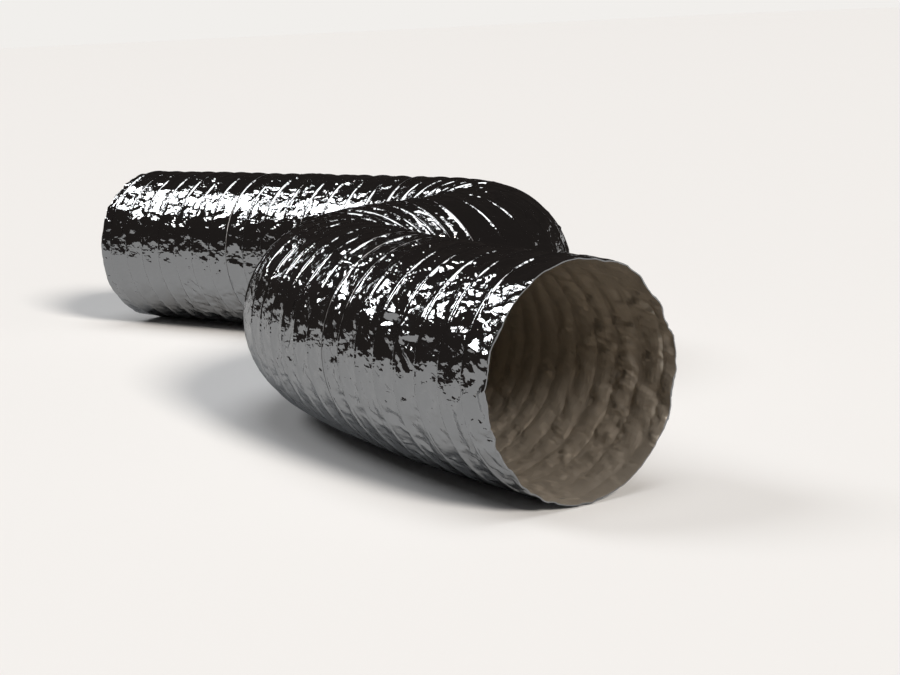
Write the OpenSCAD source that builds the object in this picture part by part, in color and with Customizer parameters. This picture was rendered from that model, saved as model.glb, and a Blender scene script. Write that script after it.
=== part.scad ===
// Uninsulated flexible duct: a foil laminate sleeve carried by a sprung wire helix,
// lying on the floor in an S bend. Units are millimetres. The origin is the centre
// of the front mouth, +X points out of that mouth and +Z is up.

/* [Sleeve] */
// Clear bore of the sleeve
bore_d = 203.2; // [80:0.1:400]
// Wall that stands for the laminate
wall = 1; // [0.6:0.1:3]
// Length of the whole duct along its centreline
stock_length = 1500; // [1200:1:6000]
// Straight stretch at each end, where a fitting slides in
collar = 52; // [30:1:120]

/* [Wire] */
// Thickness of the spring wire
wire_d = 1; // [0.6:0.1:2.5]
// Gap between the wire and the sleeve
wire_gap = 0.12; // [0.05:0.01:1]
// Distance from one turn of the wire to the next
wire_pitch = 31.5; // [20:0.5:60]
// Foil left plain between a cut end and the wire
end_margin = 12; // [5:1:40]
// Straight pieces in one turn of the wire
turn_steps = 24; // [16:4:32]
// Straight pieces from the mouth's left side up and round to the wire's start
start_step = 9; // [0:1:23]

/* [Route] */
// Radius of the front run, which turns right
front_run_r = 1390; // [600:10:3000]
// Radius that the start of the right-hand bend leaves open on its inner side
right_inside_r = 12.4; // [8:0.1:200]
// Radius that the rest of the right-hand bend leaves open on its inner side
middle_inside_r = 86; // [8:0.1:400]
// Radius that the left-hand bend leaves open on its inner side
left_inside_r = 83; // [8:0.1:200]

/* [Hidden] */
bore_r = bore_d / 2;
sleeve_r = bore_r + wall;
// Corners of the wire's polygon stand out so that its flats clear the sleeve
wire_r = (sleeve_r + wire_gap) / cos(180 / turn_steps);

// Each bend is [radius, turn]. A turn is [cosine, sine] of its angle, left turns
// positive, from a right triangle with whole sides. So the joints' places are short
// decimals, and neighbouring legs of the sleeve meet exactly, face on face.
bends = [
    [front_run_r, [24, -7] / 25],
    [sleeve_r + right_inside_r, [117, -44] / 125],
    [sleeve_r + middle_inside_r, [3, -4] / 5],
    [sleeve_r + left_inside_r, [-7, 24] / 25],
];

// Sides of a round section, and of a whole turn of a bend
section_sides = 120;
bend_sides = 240;

// The sleeve is one tube. It is given in four nodes, each simple enough to stay hollow
// in collision, and they meet face to face.

function left_of(direction) = [-direction.y, direction.x];
function turned(direction, turn) = turn.x * direction + turn.y * left_of(direction);
function side_of(turn) = sign(turn.y);
function angle_of(turn) = abs(atan2(turn.y, turn.x));
function bend_length(bend) = bend[0] * PI / 180 * angle_of(bend[1]);

// Place where the centreline of a bend ends, and its direction there
function after(bend, place, direction) =
    let (to_centre = side_of(bend[1]) * bend[0], end = turned(direction, bend[1]))
    [place + to_centre * (left_of(direction) - left_of(end)), end];

// Joint [place, direction] at the start of each bend, and last at the end of them all.
// The route enters the duct at the origin along -X.
function joint(i) =
    i == 0 ? [[-collar, 0], [-1, 0]] : let (last = joint(i - 1)) after(bends[i - 1], last[0], last[1]);
joints = [for (i = [0:len(bends)]) joint(i)];

// Distance from the front mouth to the start of each bend, and to the end of them all
function distance(i) = i == 0 ? collar : distance(i - 1) + bend_length(bends[i - 1]);
distances = [for (i = [0:len(bends)]) distance(i)];
rear_run = stock_length - distances[len(bends)];

// Number of bends that end before a distance from the front mouth
function bends_before(s, i = 0) =
    i == len(bends) || s < distances[i + 1] ? i : bends_before(s, i + 1);

// Place and direction at a distance from the front mouth
function pose_at(s) =
    s < collar ? [[-s, 0], [-1, 0]]
    : let (i = bends_before(s), start = joints[i], along = s - distances[i])
      i == len(bends) ? [start[0] + along * start[1], start[1]]
      : let (
            bend = bends[i],
            angle = side_of(bend[1]) * along / bend[0] * 180 / PI,
            part_turn = [cos(angle), sin(angle)]
        )
        after([bend[0], part_turn], start[0], start[1]);

// Point around the route: s along it, angle round it, r out from it, slid along it by shift
function around(s, angle, r, shift) =
    let (
        pose = pose_at(s),
        flat = pose[0] + r * cos(angle) * left_of(pose[1]) + shift * pose[1]
    )
    [flat.x, flat.y, r * sin(angle)];

module ring_section() {
    difference() {
        circle(r = sleeve_r, $fn = section_sides);
        circle(r = bore_r, $fn = section_sides);
    }
}

module straight_leg(place, direction, length) {
    translate([place.x, place.y, 0])
        rotate([0, 0, atan2(direction.y, direction.x)])
            rotate([0, 90, 0])
                linear_extrude(length)
                    ring_section();
}

// A bend is the part of a whole ring between two upright planes through its centre
module bent_leg(i) {
    radius = bends[i][0];
    side = side_of(bends[i][1]);
    outwards = -side * left_of(joints[i][1]);
    last_outwards = -side * left_of(joints[i + 1][1]);
    centre = joints[i][0] - radius * outwards;
    // Well past the ring, also in the middle of a bend's far side
    reach = 5 * (radius + sleeve_r);
    intersection() {
        translate([centre.x, centre.y, 0])
            rotate([0, 0, atan2(-outwards.y, -outwards.x)])
                rotate_extrude($fn = bend_sides)
                    translate([radius, 0])
                        ring_section();
        translate([0, 0, -2 * sleeve_r])
            linear_extrude(4 * sleeve_r)
                polygon([centre, centre + reach * outwards, centre + reach * last_outwards]);
    }
}

// Open front mouth and the long slow bend behind it
module sleeve_front_run() {
    color("silver")
        union() {
            straight_leg([0, 0], [-1, 0], collar);
            bent_leg(0);
        }
}

// Right-hand bend, tighter where it starts
module sleeve_right_bend() {
    color("silver")
        union() {
            bent_leg(1);
            bent_leg(2);
        }
}

// Left-hand bend
module sleeve_left_bend() {
    color("silver")
        bent_leg(3);
}

// Straight run to the open rear mouth
module sleeve_rear_run() {
    last = joints[len(bends)];
    color("silver")
        straight_leg(last[0], last[1], rear_run);
}

// One spring wire, wound round the sleeve from one end to the other
module wire_helix() {
    wound_length = stock_length - 2 * end_margin;
    count = floor(wound_length / wire_pitch * turn_steps);
    half = wire_d / 2;
    // Corners of the wire's section: [out from the sleeve, along the route]
    corners = [[0, -half], [0, half], [wire_d, 0]];
    points = [
        for (i = [0:count], corner = corners)
            around(
                end_margin + i * wire_pitch / turn_steps,
                (start_step + i + 0.5) * 360 / turn_steps,
                wire_r + corner.x,
                corner.y
            )
    ];
    sides = [
        for (i = [0:count - 1], j = [0:2])
            let (a = 3 * i + j, b = 3 * i + (j + 1) % 3)
            each [[a, b, a + 3], [b, b + 3, a + 3]]
    ];
    last = 3 * count;
    color("dimgray")
        polyhedron(points, concat([[2, 1, 0], [last, last + 1, last + 2]], sides));
}

sleeve_front_run();
sleeve_right_bend();
sleeve_left_bend();
sleeve_rear_run();
wire_helix();
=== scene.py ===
"""Dresses a length of uninsulated flexible duct: crinkled foil laminate on a wire helix.

Everything is in metres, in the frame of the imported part. The origin is the centre of the
front mouth, +X points out of it and +Z is up. Two coordinates place a point of the duct:
s, the distance from the front mouth along the centreline, and theta, the angle from the
side that is on the left of the inward heading, through the top.
"""

from __future__ import annotations

import logging
import math
from dataclasses import dataclass
from enum import Enum

import bmesh
import bpy
import numpy as np
from mathutils import Matrix, Vector


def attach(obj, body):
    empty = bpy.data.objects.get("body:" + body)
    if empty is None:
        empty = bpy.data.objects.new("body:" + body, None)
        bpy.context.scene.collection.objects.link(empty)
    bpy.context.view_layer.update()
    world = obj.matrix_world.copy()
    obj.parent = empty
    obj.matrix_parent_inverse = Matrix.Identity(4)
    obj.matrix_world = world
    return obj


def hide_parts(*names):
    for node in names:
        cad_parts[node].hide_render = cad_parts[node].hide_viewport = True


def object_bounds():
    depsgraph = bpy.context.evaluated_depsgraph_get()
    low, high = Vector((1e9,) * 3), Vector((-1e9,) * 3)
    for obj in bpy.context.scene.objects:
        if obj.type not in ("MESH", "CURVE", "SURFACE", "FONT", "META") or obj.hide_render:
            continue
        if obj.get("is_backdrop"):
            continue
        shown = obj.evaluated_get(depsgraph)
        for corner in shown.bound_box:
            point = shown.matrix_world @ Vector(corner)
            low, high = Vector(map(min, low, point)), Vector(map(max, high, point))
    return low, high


LOG = logging.getLogger("duct")
MM = 0.001
PHOTO_WIDTH = 900

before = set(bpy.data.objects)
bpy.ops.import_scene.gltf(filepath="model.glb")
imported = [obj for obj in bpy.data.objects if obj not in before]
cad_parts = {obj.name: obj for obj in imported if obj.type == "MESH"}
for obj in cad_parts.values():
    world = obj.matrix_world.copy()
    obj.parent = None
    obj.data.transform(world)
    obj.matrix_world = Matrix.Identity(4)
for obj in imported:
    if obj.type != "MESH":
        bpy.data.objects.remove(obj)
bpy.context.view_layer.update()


def srgb(colour: str) -> tuple[float, float, float, float]:
    """Turns an sRGB hex colour to linear.

    Args:
        colour: Colour such as "#c8c8c4".

    Returns:
        Linear red, green, blue and an alpha of 1.
    """
    parts = [int(colour[i : i + 2], 16) / 255 for i in (1, 3, 5)]
    linear = [p / 12.92 if p <= 0.04045 else ((p + 0.055) / 1.055) ** 2.4 for p in parts]
    return (linear[0], linear[1], linear[2], 1.0)


def add_node(
    tree: bpy.types.NodeTree,
    kind: str,
    settings: dict[str, object] | None = None,
    inputs: dict[str | int, object] | None = None,
) -> bpy.types.Node:
    """Adds a node to a tree, with its settings, input values and links.

    Args:
        tree: Node tree that gets the node.
        kind: Node type, such as "ShaderNodeBump".
        settings: Values of the node's own properties.
        inputs: For each input, by name or number, a value or the socket that feeds it.

    Returns:
        The new node.
    """
    node = tree.nodes.new(kind)
    for name, value in (settings or {}).items():
        setattr(node, name, value)
    for name, value in (inputs or {}).items():
        if isinstance(value, bpy.types.NodeSocket):
            tree.links.new(value, node.inputs[name])
        else:
            node.inputs[name].default_value = value
    return node


class Noise:
    """Seeded noise over the unrolled sheet, which closes on itself round the duct."""

    TABLE = 4096

    def __init__(self, seed: int) -> None:
        """Fills the table of random heights from -1 to 1."""
        self.table = np.random.default_rng(seed).uniform(-1.0, 1.0, self.TABLE)

    def corner(self, column: np.ndarray, row: np.ndarray, columns: int) -> np.ndarray:
        """Gives the random height at lattice corners.

        Args:
            column: Whole numbers round the duct.
            row: Whole numbers along the duct.
            columns: Count of columns once round.

        Returns:
            Heights from -1 to 1.
        """
        mixed = (np.mod(column, columns) * 73856093) ^ (row * 19349663)
        return self.table[np.mod(mixed ^ (mixed >> 7), self.TABLE)]

    def smooth(self, turn: np.ndarray, s: np.ndarray, columns: int, cell: float) -> np.ndarray:
        """Gives rounded hills.

        Args:
            turn: Place round the duct, in turns.
            s: Place along the duct.
            columns: Count of lattice columns once round.
            cell: Length of a lattice row.

        Returns:
            Heights from -1 to 1.
        """
        x, y = turn * columns, s / cell
        column, row = np.floor(x).astype(np.int64), np.floor(y).astype(np.int64)
        a, b = x - column, y - row
        a, b = a * a * (3 - 2 * a), b * b * (3 - 2 * b)
        low = (1 - a) * self.corner(column, row, columns) + a * self.corner(column + 1, row, columns)
        above = row + 1
        high = (1 - a) * self.corner(column, above, columns) + a * self.corner(column + 1, above, columns)
        return (1 - b) * low + b * high

    def facets(self, turn: np.ndarray, s: np.ndarray, columns: int, cell: float) -> np.ndarray:
        """Gives flat three-cornered facets that meet in sharp folds.

        Args:
            turn: Place round the duct, in turns.
            s: Place along the duct.
            columns: Count of lattice columns once round.
            cell: Length of a lattice row.

        Returns:
            Heights from -1 to 1.
        """
        x, y = turn * columns, s / cell
        column, row = np.floor(x).astype(np.int64), np.floor(y).astype(np.int64)
        a, b = x - column, y - row
        h00, h10 = self.corner(column, row, columns), self.corner(column + 1, row, columns)
        h01, h11 = self.corner(column, row + 1, columns), self.corner(column + 1, row + 1, columns)
        low = h00 + a * (h10 - h00) + b * (h01 - h00)
        high = h11 + (1 - a) * (h01 - h11) + (1 - b) * (h10 - h11)
        right = h00 + a * (h10 - h00) + b * (h11 - h10)
        left = h00 + b * (h01 - h00) + a * (h11 - h01)
        near, far = np.where(a + b < 1, low, high), np.where(a > b, right, left)
        return np.where(self.corner(column + 57, row + 91, columns) > 0, near, far)


@dataclass(frozen=True)
class Bend:
    """An arc of the route. cos and sin are those of its turn, which is positive to the left."""

    radius: float
    cos: float
    sin: float

    @property
    def side(self) -> int:
        """1 for a left turn, -1 for a right turn."""
        return 1 if self.sin > 0 else -1

    @property
    def length(self) -> float:
        """Length of the arc."""
        return self.radius * abs(math.atan2(self.sin, self.cos))


@dataclass(frozen=True)
class Route:
    """The centreline on the floor: a collar, four bends and a straight run."""

    collar: float = 52 * MM
    length: float = 1500 * MM
    bends: tuple[Bend, ...] = (
        Bend(1390 * MM, 24 / 25, -7 / 25),
        Bend(115 * MM, 117 / 125, -44 / 125),
        Bend(188.6 * MM, 3 / 5, -4 / 5),
        Bend(185.6 * MM, -7 / 25, 24 / 25),
    )

    def joints(self) -> list[float]:
        """Distances from the mouth at which the bends start, and at which the last ends."""
        found = [self.collar]
        for bend in self.bends:
            found.append(found[-1] + bend.length)
        return found

    def poses(self, s: np.ndarray) -> tuple[np.ndarray, np.ndarray, np.ndarray, np.ndarray]:
        """Gives places and headings along the route.

        Args:
            s: Distances from the front mouth.

        Returns:
            x and y of the place, and x and y of the heading.
        """
        place, heading = np.array([0.0, 0.0]), np.array([-1.0, 0.0])
        x, y = place[0] + s * heading[0], place[1] + s * heading[1]
        dx, dy = np.full_like(s, heading[0]), np.full_like(s, heading[1])
        place, start = place + self.collar * heading, self.collar
        for bend in self.bends:
            left = np.array([-heading[1], heading[0]])
            centre = place + bend.side * bend.radius * left
            limits = sorted((0.0, math.atan2(bend.sin, bend.cos)))
            angle = np.clip(bend.side * (s - start) / bend.radius, *limits)
            on = s >= start
            ca, sa = np.cos(angle), np.sin(angle)
            arm = place - centre
            x = np.where(on, centre[0] + ca * arm[0] - sa * arm[1], x)
            y = np.where(on, centre[1] + sa * arm[0] + ca * arm[1], y)
            dx = np.where(on, ca * heading[0] - sa * heading[1], dx)
            dy = np.where(on, sa * heading[0] + ca * heading[1], dy)
            turn = np.array([[bend.cos, -bend.sin], [bend.sin, bend.cos]])
            place, heading, start = centre + turn @ arm, turn @ heading, start + bend.length
        past = np.maximum(s - start, 0.0)
        return x + past * heading[0], y + past * heading[1], dx, dy

    def bend_rate(self, s: np.ndarray, reach: float = 22 * MM) -> np.ndarray:
        """Gives the curvature averaged over a short stretch, as the springy wire spreads it.

        Args:
            s: Distances from the front mouth.
            reach: Half the length of the stretch.

        Returns:
            Curvature in radians a metre, positive to the left.
        """
        _, _, ax, ay = self.poses(s - reach)
        _, _, bx, by = self.poses(s + reach)
        return np.arctan2(ax * by - ay * bx, ax * bx + ay * by) / (2 * reach)

    def around(self, s: np.ndarray, theta: np.ndarray, r: np.ndarray) -> np.ndarray:
        """Gives the points at a distance s, an angle theta and a radius r.

        Args:
            s: Distances from the front mouth.
            theta: Angles round the centreline, in radians.
            r: Distances from the centreline.

        Returns:
            Points, one row each.
        """
        x, y, dx, dy = self.poses(s)
        across = r * np.cos(theta)
        return np.stack([x - across * dy, y + across * dx, r * np.sin(theta)], axis=-1)


@dataclass(frozen=True)
class Winding:
    """The spring wire's path: right-handed, with one start."""

    route: Route
    pitch: float = 31.5 * MM
    end_margin: float = 12 * MM
    start_turn: float = 142.5 / 360
    wire_radius: float = 0.5 * MM
    centre_radius: float = 103.12 * MM
    seam_turn: float = -0.25

    def offset(self, turn: np.ndarray, s: np.ndarray) -> tuple[np.ndarray, np.ndarray]:
        """Gives how far points are from the wire, along the duct.

        Args:
            turn: Places round the duct, in turns.
            s: Distances from the front mouth.

        Returns:
            The signed distance to the nearest winding, and 1 where that winding has wire.
        """
        count = np.round((s - self.end_margin) / self.pitch - (turn - self.start_turn))
        wire = self.end_margin + self.pitch * (turn - self.start_turn + count)
        inside = np.minimum(wire - self.end_margin, self.route.length - self.end_margin - wire)
        return s - wire, np.clip(1 + inside / (1.5 * MM), 0.0, 1.0)


@dataclass(frozen=True)
class FoldLayer:
    """One size of facet in the crumpled foil."""

    height: float
    columns: int
    cell: float


@dataclass(frozen=True)
class FoilRelief:
    """Heights of the foil over a plain tube: ribs over the wire, sag and crumples between them."""

    route: Route
    winding: Winding
    sleeve_radius: float = 102.6 * MM
    rib_height: float = 1.1 * MM
    rib_width: float = 1.25 * MM
    sag: float = 0.9 * MM
    squeeze_fold: float = 5.5 * MM
    sway: float = 0.5 * MM
    skew: float = 0.35
    large: FoldLayer = FoldLayer(2.0 * MM, 54, 19 * MM)
    middle: FoldLayer = FoldLayer(1.1 * MM, 96, 11 * MM)
    small: FoldLayer = FoldLayer(0.6 * MM, 150, 7 * MM)
    seed: int = 11

    def crumple(self, turn: np.ndarray, s: np.ndarray) -> np.ndarray:
        """Gives the folded facets of the slack foil, before the wire holds them.

        Args:
            turn: Places round the duct, in turns.
            s: Distances from the front mouth.

        Returns:
            Heights in metres.
        """
        warp_a, warp_b, patches = Noise(self.seed), Noise(self.seed + 1), Noise(self.seed + 2)
        shift_turn = turn + 0.012 * warp_a.smooth(turn, s, 30, 24 * MM)
        shift_turn = shift_turn + 0.004 * warp_b.smooth(turn, s, 90, 9 * MM)
        shift_s = s + 7 * MM * warp_b.smooth(turn, s, 26, 28 * MM)
        shift_s = shift_s + 2 * MM * warp_a.smooth(turn, s, 80, 10 * MM)
        skewed = shift_turn + self.skew * shift_s / (2 * math.pi * self.sleeve_radius)
        leaning = shift_turn - 0.25 * shift_s
        strength = 0.75 + 0.55 * patches.smooth(turn, s, 9, 70 * MM)
        total = np.zeros_like(s)
        layers = ((self.large, skewed), (self.middle, leaning), (self.small, skewed))
        for number, (layer, place) in enumerate(layers, start=3):
            folds = Noise(self.seed + number).facets(place, shift_s, layer.columns, layer.cell)
            total = total + layer.height * folds
        return total * strength

    def heights(self, turn: np.ndarray, s: np.ndarray) -> np.ndarray:
        """Gives the height of the outer ply over the sleeve's radius.

        Args:
            turn: Places round the duct, in turns.
            s: Distances from the front mouth.

        Returns:
            Heights in metres.
        """
        offset, wired = self.winding.offset(turn, s)
        shortening = self.route.bend_rate(s) * self.sleeve_radius * np.cos(2 * math.pi * turn)
        squeezed = np.clip(shortening, 0.0, 0.9)
        rib = self.rib_height * wired * np.exp(-((offset / self.rib_width) ** 2))
        held = 1 - wired * np.exp(-((offset / (3.2 * MM)) ** 2))
        across = np.cos(math.pi * offset / self.winding.pitch) ** 2
        fold = -(self.sag + self.squeeze_fold * squeezed) * (1 - np.abs(across) ** 0.8)
        sway = self.sway * Noise(self.seed + 6).smooth(turn, s, 5, 60 * MM)
        return rib + fold * wired + held * self.crumple(turn, s) + sway

    def lowest(self, turn: np.ndarray, s: np.ndarray, reach: float = 2.4 * MM) -> np.ndarray:
        """Gives the lowest height close to each point, for the lining under the outer ply.

        Args:
            turn: Places round the duct, in turns.
            s: Distances from the front mouth.
            reach: How far along the duct the lining's coarser faces span.

        Returns:
            Heights in metres.
        """
        around = reach / (2 * math.pi * self.sleeve_radius)
        shifts = ((0, -1), (0, -0.5), (0, 0), (0, 0.5), (0, 1), (-0.5, 0), (0.5, 0))
        return np.min([self.heights(turn + a * around, s + b * reach) for a, b in shifts], axis=0)


class FoilSide(Enum):
    """The two faces of the laminate, with the number of each one's material slot."""

    OUTER = 0
    INNER = 1


@dataclass(frozen=True)
class FoilFinish:
    """Bright aluminium foil laminate: a mirror that its crumples break into shards."""

    name: str = "foil_laminate"
    colour: str = "#c0c2c4"
    roughness: float = 0.07
    streak_mm: float = 1.1
    streak_depth_mm: float = 0.05
    crinkle_mm: float = 5.0
    crinkle_depth_mm: float = 0.25

    def build(self) -> bpy.types.Material:
        """Makes the material.

        Returns:
            The material, which reads the sheet's own UV map in metres.
        """
        material = bpy.data.materials.new(self.name)
        material.use_nodes = True
        tree = material.node_tree
        shader = tree.nodes["Principled BSDF"]
        shader.inputs["Metallic"].default_value = 1.0
        sheet = add_node(tree, "ShaderNodeUVMap", {"uv_map": "sheet"})
        along = add_node(
            tree,
            "ShaderNodeMapping",
            inputs={"Vector": sheet.outputs[0], "Scale": (40, 1000 / self.streak_mm, 1)},
        )
        streaks = add_node(
            tree,
            "ShaderNodeTexNoise",
            {"noise_dimensions": "2D"},
            {"Vector": along.outputs[0], "Scale": 1.0, "Detail": 3.0, "Roughness": 0.6},
        )
        cells = add_node(
            tree,
            "ShaderNodeMapping",
            inputs={
                "Vector": sheet.outputs[0],
                "Scale": (1000 / self.crinkle_mm, 700 / self.crinkle_mm, 1),
            },
        )
        wander = add_node(
            tree,
            "ShaderNodeTexNoise",
            {"noise_dimensions": "2D"},
            {"Vector": cells.outputs[0], "Scale": 0.7, "Detail": 2.0},
        )
        bent = add_node(
            tree,
            "ShaderNodeVectorMath",
            {"operation": "ADD"},
            {0: cells.outputs[0], 1: wander.outputs["Color"]},
        )
        folds = add_node(
            tree,
            "ShaderNodeTexVoronoi",
            {"voronoi_dimensions": "2D", "feature": "F1", "distance": "MANHATTAN"},
            {"Vector": bent.outputs[0], "Scale": 1.0},
        )
        crease = add_node(
            tree,
            "ShaderNodeBump",
            inputs={"Height": folds.outputs["Distance"], "Distance": self.crinkle_depth_mm * MM, "Strength": 1.0},
        )
        fine = add_node(
            tree,
            "ShaderNodeBump",
            inputs={
                "Height": streaks.outputs[0],
                "Distance": self.streak_depth_mm * MM,
                "Strength": 1.0,
                "Normal": crease.outputs[0],
            },
        )
        tree.links.new(fine.outputs[0], shader.inputs["Normal"])
        shader.inputs["Base Color"].default_value = srgb(self.colour)
        shader.inputs["Roughness"].default_value = self.roughness
        return material


@dataclass(frozen=True)
class LiningFinish:
    """Inner ply: polyester film on the foil, duller, with fine gathers that run with the ribs."""

    name: str = "film_lining"
    colour: str = "#c8c0b4"
    roughness: float = 0.4
    gather_mm: float = 2.6
    gather_depth_mm: float = 0.35

    def build(self) -> bpy.types.Material:
        """Makes the material.

        Returns:
            The material, which reads the sheet's own UV map in metres.
        """
        material = bpy.data.materials.new(self.name)
        material.use_nodes = True
        tree = material.node_tree
        shader = tree.nodes["Principled BSDF"]
        shader.inputs["Metallic"].default_value = 0.8
        sheet = add_node(tree, "ShaderNodeUVMap", {"uv_map": "sheet"})
        mapped = add_node(
            tree,
            "ShaderNodeMapping",
            inputs={"Vector": sheet.outputs[0], "Scale": (60, 1000 / self.gather_mm, 1)},
        )
        gathers = add_node(
            tree,
            "ShaderNodeTexNoise",
            {"noise_dimensions": "2D"},
            {"Vector": mapped.outputs[0], "Scale": 1.0, "Detail": 3.0, "Distortion": 0.6},
        )
        bump = add_node(
            tree,
            "ShaderNodeBump",
            inputs={"Height": gathers.outputs[0], "Distance": self.gather_depth_mm * MM, "Strength": 1.0},
        )
        tree.links.new(bump.outputs[0], shader.inputs["Normal"])
        shader.inputs["Base Color"].default_value = srgb(self.colour)
        shader.inputs["Roughness"].default_value = self.roughness
        return material


@dataclass(frozen=True)
class WireFinish:
    """Drawn spring steel: dull grey, with faint die lines."""

    name: str = "spring_wire"
    colour: str = "#8c8c8e"
    roughness: float = 0.35

    def build(self) -> bpy.types.Material:
        """Makes the material."""
        material = bpy.data.materials.new(self.name)
        material.use_nodes = True
        tree = material.node_tree
        shader = tree.nodes["Principled BSDF"]
        shader.inputs["Metallic"].default_value = 1.0
        place = add_node(tree, "ShaderNodeTexCoord")
        grain = add_node(
            tree,
            "ShaderNodeTexNoise",
            inputs={"Vector": place.outputs["Object"], "Scale": 900.0, "Detail": 2.0},
        )
        rough = add_node(
            tree,
            "ShaderNodeMapRange",
            inputs={
                "Value": grain.outputs[0],
                "To Min": self.roughness - 0.08,
                "To Max": self.roughness + 0.12,
            },
        )
        tree.links.new(rough.outputs[0], shader.inputs["Roughness"])
        shader.inputs["Base Color"].default_value = srgb(self.colour)
        return material


class SleeveNode(Enum):
    """The nodes of the sleeve, from the front mouth to the rear one."""

    FRONT_RUN = "sleeve_front_run"
    RIGHT_BEND = "sleeve_right_bend"
    LEFT_BEND = "sleeve_left_bend"
    REAR_RUN = "sleeve_rear_run"


@dataclass
class FoilSleeve:
    """The foil laminate, in one thin closed shell for each node of the sleeve."""

    route: Route
    winding: Winding
    relief: FoilRelief
    laminate: float = 0.8 * MM
    columns: int = 284
    outer_rows: tuple[float, ...] = (
        *(-14.3, -11.2, -8.2, -5.4, -3.0, -1.5, -0.7, 0),
        *(0.7, 1.5, 3.0, 5.4, 8.2, 11.2, 14.3),
    )
    inner_rows: tuple[float, ...] = (-11.0, -6.0, -1.5, 0, 1.5, 6.0, 11.0)

    def spans(self) -> dict[SleeveNode, tuple[float, float]]:
        """Distances from the mouth between which each node lies."""
        joints = self.route.joints()
        return {
            SleeveNode.FRONT_RUN: (0.0, joints[1]),
            SleeveNode.RIGHT_BEND: (joints[1], joints[3]),
            SleeveNode.LEFT_BEND: (joints[3], joints[4]),
            SleeveNode.REAR_RUN: (joints[4], self.route.length),
        }

    def helical_rows(self, start: float, end: float, offsets: tuple[float, ...]) -> np.ndarray:
        """Gives the rows of a mesh that follows the wire, crowded towards the rib.

        Args:
            start: Distance at which the node starts.
            end: Distance at which it ends.
            offsets: Rows of one winding, in mm from the wire.

        Returns:
            The distance of each row at a turn of 0, rising.
        """
        pitch = self.winding.pitch
        wire = self.winding.end_margin - self.winding.start_turn * pitch
        first = math.floor((start - wire) / pitch) - 2
        last = math.ceil((end - wire) / pitch) + 2
        return np.array([wire + n * pitch + d * MM for n in range(first, last) for d in offsets])

    def section(self, node: SleeveNode, start: float, end: float) -> bpy.types.Object:
        """Builds the shell of one node.

        Args:
            node: Node that the shell replaces.
            start: Distance at which it starts.
            end: Distance at which it ends.

        Returns:
            The shell, with its place in its mesh.
        """
        outer = self.helical_rows(start, end, self.outer_rows)
        inner = self.helical_rows(start, end, self.inner_rows)[::-1]
        rows = np.concatenate([outer, inner, outer[:1]])
        is_outer = np.concatenate([np.ones(len(outer), bool), np.zeros(len(inner), bool), [True]])
        mesh = bpy.data.meshes.new(node.value)
        sheet = bmesh.new()
        bmesh.ops.create_grid(sheet, x_segments=self.columns, y_segments=len(rows) - 1, size=0.5)
        sheet.loops.layers.uv.new("sheet")
        sheet.to_mesh(mesh)
        sheet.free()
        flat = np.empty(len(mesh.vertices) * 3)
        mesh.vertices.foreach_get("co", flat)
        flat = flat.reshape(-1, 3)
        column = np.round((flat[:, 0] + 0.5) * self.columns).astype(int)
        row = np.round((flat[:, 1] + 0.5) * (len(rows) - 1)).astype(int)
        turn = self.winding.seam_turn + column / self.columns
        s = np.clip(rows[row] + self.winding.pitch * turn, start, end)
        outside = is_outer[row]
        mesh.vertices.foreach_set("co", self.surface(turn, s, outside).ravel())
        marks = mesh.attributes.new("place", "FLOAT_VECTOR", "POINT")
        marks.data.foreach_set("vector", np.stack([turn, s, outside], axis=-1).ravel())
        corners = np.empty(len(mesh.loops), int)
        mesh.loops.foreach_get("vertex_index", corners)
        places = np.stack([turn * 2 * math.pi * self.relief.sleeve_radius, s], axis=-1)[corners]
        mesh.uv_layers["sheet"].data.foreach_set("uv", places.ravel())
        return self.close(mesh, node, row, is_outer)

    def surface(self, turn: np.ndarray, s: np.ndarray, outside: np.ndarray) -> np.ndarray:
        """Gives points on the outer face, or on the inner one.

        Args:
            turn: Places round the duct, in turns.
            s: Distances from the front mouth.
            outside: Whether each point is on the outer face.

        Returns:
            Points, one row each.
        """
        height = np.empty_like(s)
        height[outside] = self.relief.heights(turn[outside], s[outside])
        height[~outside] = self.relief.lowest(turn[~outside], s[~outside]) - self.laminate
        return self.route.around(s, 2 * math.pi * turn, self.relief.sleeve_radius + height)

    def smooth_across_nodes(self, mesh: bpy.types.Mesh) -> None:
        """Gives the shell normals worked out from the relief, the same on both sides of a joint.

        Args:
            mesh: The finished shell, with the place of each vertex in an attribute.
        """
        marks = np.empty(len(mesh.vertices) * 3)
        mesh.attributes["place"].data.foreach_get("vector", marks)
        turn, s, side = marks.reshape(-1, 3).T
        outside = side > 0.5
        step = 0.8 * MM
        around = step / (2 * math.pi * self.relief.sleeve_radius)
        across = self.surface(turn + around, s, outside) - self.surface(turn - around, s, outside)
        along = self.surface(turn, s + step, outside) - self.surface(turn, s - step, outside)
        normals = np.cross(across, along)
        normals /= np.linalg.norm(normals, axis=1)[:, None]
        centre = self.route.around(s, turn, np.zeros_like(s))
        radial = self.route.around(s, 2 * math.pi * turn, np.ones_like(s)) - centre
        outward = np.where(outside, 1, -1) * np.sign(np.sum(normals * radial, axis=1))
        corners = np.empty(len(mesh.loops), int)
        mesh.loops.foreach_get("vertex_index", corners)
        smooth = np.empty(len(mesh.polygons), bool)
        mesh.polygons.foreach_get("use_smooth", smooth)
        totals = np.empty(len(mesh.polygons), int)
        mesh.polygons.foreach_get("loop_total", totals)
        shaded = (normals * outward[:, None])[corners] * np.repeat(smooth, totals)[:, None]
        mesh.normals_split_custom_set(shaded.tolist())
        mesh.attributes.remove(mesh.attributes["place"])

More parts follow.
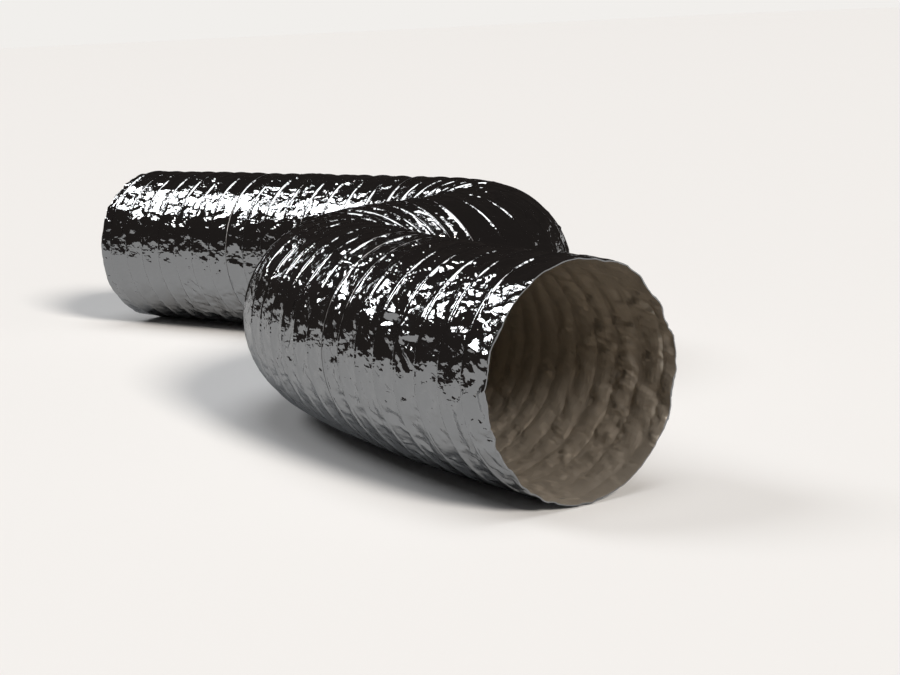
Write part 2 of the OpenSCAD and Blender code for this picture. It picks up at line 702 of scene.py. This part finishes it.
    def close(
        self, mesh: bpy.types.Mesh, node: SleeveNode, row: np.ndarray, is_outer: np.ndarray
    ) -> bpy.types.Object:
        """Welds the sheet to a closed shell and gives it its faces' materials.

        Args:
            mesh: The mapped sheet, with open seams.
            node: Node that it replaces.
            row: Row of each vertex.
            is_outer: Whether each row is on the outer face.

        Returns:
            The finished object.
        """
        shell = bmesh.new()
        shell.from_mesh(mesh)
        shell.verts.ensure_lookup_table()
        for face in shell.faces:
            sides = {bool(is_outer[row[v.index]]) for v in face.verts}
            face.material_index = FoilSide.INNER.value if sides == {False} else FoilSide.OUTER.value
            face.smooth = len(sides) == 1
        rims = {e for f in shell.faces if not f.smooth for e in f.edges}
        for edge in rims:
            edge.smooth = False
        bmesh.ops.remove_doubles(shell, verts=shell.verts[:], dist=2e-6)
        if shell.calc_volume(signed=True) < 0:
            bmesh.ops.reverse_faces(shell, faces=shell.faces[:])
        shell.to_mesh(mesh)
        shell.free()
        self.smooth_across_nodes(mesh)
        shell_object = bpy.data.objects.new(f"foil_{node.value}", mesh)
        bpy.context.scene.collection.objects.link(shell_object)
        return shell_object

    def build(self, outer: bpy.types.Material, lining: bpy.types.Material) -> list[bpy.types.Object]:
        """Builds the four shells and dresses them.

        Args:
            outer: Material of the outer face.
            lining: Material of the inner face.

        Returns:
            The shells, from the front mouth to the rear one.
        """
        shells = []
        for node, (start, end) in self.spans().items():
            shell = self.section(node, start, end)
            shell.data.materials.append(outer)
            shell.data.materials.append(lining)
            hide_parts(node.value)
            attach(shell, "root")
            shells.append(shell)
        return shells


@dataclass
class SpringWire:
    """The round wire under the outer ply, from one end margin to the other."""

    route: Route
    winding: Winding
    sides: int = 6
    steps_per_turn: int = 48

    def build(self, finish: bpy.types.Material) -> bpy.types.Object:
        """Sweeps the wire along its helix.

        Args:
            finish: Material of the wire.

        Returns:
            The wire.
        """
        length = self.route.length - 2 * self.winding.end_margin
        steps = int(length / self.winding.pitch * self.steps_per_turn)
        mesh = bpy.data.meshes.new("spring_wire")
        sheet = bmesh.new()
        bmesh.ops.create_grid(sheet, x_segments=self.sides, y_segments=steps, size=0.5)
        sheet.to_mesh(mesh)
        flat = np.array([v.co[:] for v in sheet.verts])
        sheet.free()
        angle = (flat[:, 0] + 0.5) * 2 * math.pi
        wound = np.round((flat[:, 1] + 0.5) * steps) / steps * length
        turn = self.winding.start_turn + wound / self.winding.pitch
        s = self.winding.end_margin + wound + self.winding.wire_radius * np.sin(angle)
        radius = self.winding.centre_radius + self.winding.wire_radius * np.cos(angle)
        mesh.vertices.foreach_set("co", self.route.around(s, 2 * math.pi * turn, radius).ravel())
        tube = bmesh.new()
        tube.from_mesh(mesh)
        bmesh.ops.remove_doubles(tube, verts=tube.verts[:], dist=2e-6)
        bmesh.ops.holes_fill(tube, edges=[e for e in tube.edges if e.is_boundary], sides=self.sides)
        bmesh.ops.recalc_face_normals(tube, faces=tube.faces[:])
        for face in tube.faces:
            face.smooth = len(face.verts) == 4
        tube.to_mesh(mesh)
        tube.free()
        wire = bpy.data.objects.new("spring_wire", mesh)
        bpy.context.scene.collection.objects.link(wire)
        wire.data.materials.append(finish)
        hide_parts("wire_helix")
        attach(wire, "root")
        return wire


@dataclass(frozen=True)
class SoftLight:
    """A round softbox far away, seen by the foil as a bright disc."""

    name: str
    towards: tuple[float, float, float]
    width_deg: float
    strength: float
    colour: str = "#ffffff"

    def build(self) -> bpy.types.Object:
        """Hangs the light."""
        data = bpy.data.lights.new(self.name, "SUN")
        data.energy = self.strength
        data.angle = math.radians(self.width_deg)
        data.color = srgb(self.colour)[:3]
        light = bpy.data.objects.new(self.name, data)
        light.matrix_world = Vector(self.towards).to_track_quat("Z", "Y").to_matrix().to_4x4()
        bpy.context.scene.collection.objects.link(light)
        return light


@dataclass
class Studio:
    """Pale floor, soft lights, dark surroundings and the camera at the photograph's angle.

    The photograph's floor is plain near-white, but the foil mirrors a mid-grey one. So there are
    two floors: the camera sees the pale one, and the foil mirrors the grey one.
    """

    floor_colour: str = "#e4e5e6"
    mirrored_floor_colour: str = "#97999b"
    surroundings: str = "#2a2624"
    background: str = "#f1efec"
    camera_place: tuple[float, float, float] = (1.2013, -1.0013, 0.3016)
    heading_deg: float = 144.196
    dip_deg: float = 9.464
    roll_deg: float = -2.501
    focal_px: float = 1923.9
    lights: tuple[SoftLight, ...] = (
        SoftLight("overhead_softbox", (0.1, 0.05, 1.0), 44, 1.2),
        SoftLight("side_softbox", (-0.62, -0.35, 0.70), 24, 0.9),
        SoftLight("front_softbox", (0.85, -0.08, 0.50), 14, 3.6, "#fff6ec"),
    )

    def camera(self) -> bpy.types.Object:
        """Sets up the camera.

        Returns:
            The scene's camera.
        """
        heading, dip = math.radians(self.heading_deg), math.radians(self.dip_deg)
        level_part = math.cos(dip)
        forward = Vector(
            (math.cos(heading) * level_part, math.sin(heading) * level_part, -math.sin(dip))
        )
        level = forward.cross(Vector((0, 0, 1))).normalized()
        up = level.cross(forward)
        roll = math.radians(self.roll_deg)
        right = math.cos(roll) * level + math.sin(roll) * up
        up = -math.sin(roll) * level + math.cos(roll) * up
        data = bpy.data.cameras.new("photo_camera")
        data.sensor_width = 36.0
        data.lens = 36.0 * self.focal_px / PHOTO_WIDTH
        data.clip_end = 200.0
        camera = bpy.data.objects.new("photo_camera", data)
        pose = Matrix((right, up, -forward)).transposed().to_4x4()
        pose.translation = Vector(self.camera_place)
        camera.matrix_world = pose
        bpy.context.scene.collection.objects.link(camera)
        bpy.context.scene.camera = camera
        return camera

    def floor(self, name: str, colour: str, level: float) -> bpy.types.Object:
        """Lays a floor: a painted studio sweep, matt and even.

        Args:
            name: Name of the floor and its material.
            colour: sRGB hex colour.
            level: Height of the floor.

        Returns:
            The floor, which isn't part of the object.
        """
        mesh = bpy.data.meshes.new(name)
        plane = bmesh.new()
        bmesh.ops.create_grid(plane, x_segments=2, y_segments=2, size=60.0)
        bmesh.ops.translate(plane, verts=plane.verts[:], vec=(0, 0, level))
        plane.to_mesh(mesh)
        plane.free()
        floor = bpy.data.objects.new(name, mesh)
        bpy.context.scene.collection.objects.link(floor)
        material = bpy.data.materials.new(name)
        material.use_nodes = True
        shader = material.node_tree.nodes["Principled BSDF"]
        shader.inputs["Base Color"].default_value = srgb(colour)
        shader.inputs["Roughness"].default_value = 0.9
        mesh.materials.append(material)
        floor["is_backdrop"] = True
        return floor

    def floors(self, level: float) -> None:
        """Lays the floor that the camera sees and the one that the foil mirrors.

        Args:
            level: Height of the floor.
        """
        seen = self.floor("pale_floor", self.floor_colour, level)
        seen.visible_glossy = seen.visible_diffuse = seen.visible_shadow = False
        mirrored = self.floor("grey_floor", self.mirrored_floor_colour, level - 0.1 * MM)
        mirrored.visible_camera = False

    def air(self) -> bpy.types.World:
        """Sets the surroundings: dark in the foil, pale behind the duct."""
        world = bpy.data.worlds.new("studio")
        bpy.context.scene.world = world
        world.use_nodes = True
        tree = world.node_tree
        tree.nodes.clear()
        dark = add_node(tree, "ShaderNodeBackground", inputs={"Color": srgb(self.surroundings)})
        pale = add_node(tree, "ShaderNodeBackground", inputs={"Color": srgb(self.background)})
        path = add_node(tree, "ShaderNodeLightPath")
        mix = add_node(
            tree,
            "ShaderNodeMixShader",
            inputs={0: path.outputs["Is Camera Ray"], 1: dark.outputs[0], 2: pale.outputs[0]},
        )
        add_node(tree, "ShaderNodeOutputWorld", inputs={"Surface": mix.outputs[0]})
        return world

    def build(self, level: float) -> None:
        """Sets up the whole studio.

        Args:
            level: Height of the floor.
        """
        self.camera()
        self.floors(level)
        self.air()
        for light in self.lights:
            light.build()
        bpy.context.scene.view_settings.view_transform = "Standard"


def main() -> None:
    """Builds the duct and its studio, and reports each piece."""
    logging.basicConfig(level=logging.INFO, format="%(name)s: %(message)s")
    route = Route()
    winding = Winding(route)
    relief = FoilRelief(route, winding)
    pieces = FoilSleeve(route, winding, relief).build(FoilFinish().build(), LiningFinish().build())
    pieces.append(SpringWire(route, winding).build(WireFinish().build()))
    for piece in pieces:
        triangles = sum(len(p.vertices) - 2 for p in piece.data.polygons)
        LOG.info("%s: %d triangles", piece.name, triangles)
    Studio().build(float(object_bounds()[0][2]))


if __name__ == "__main__":
    main()
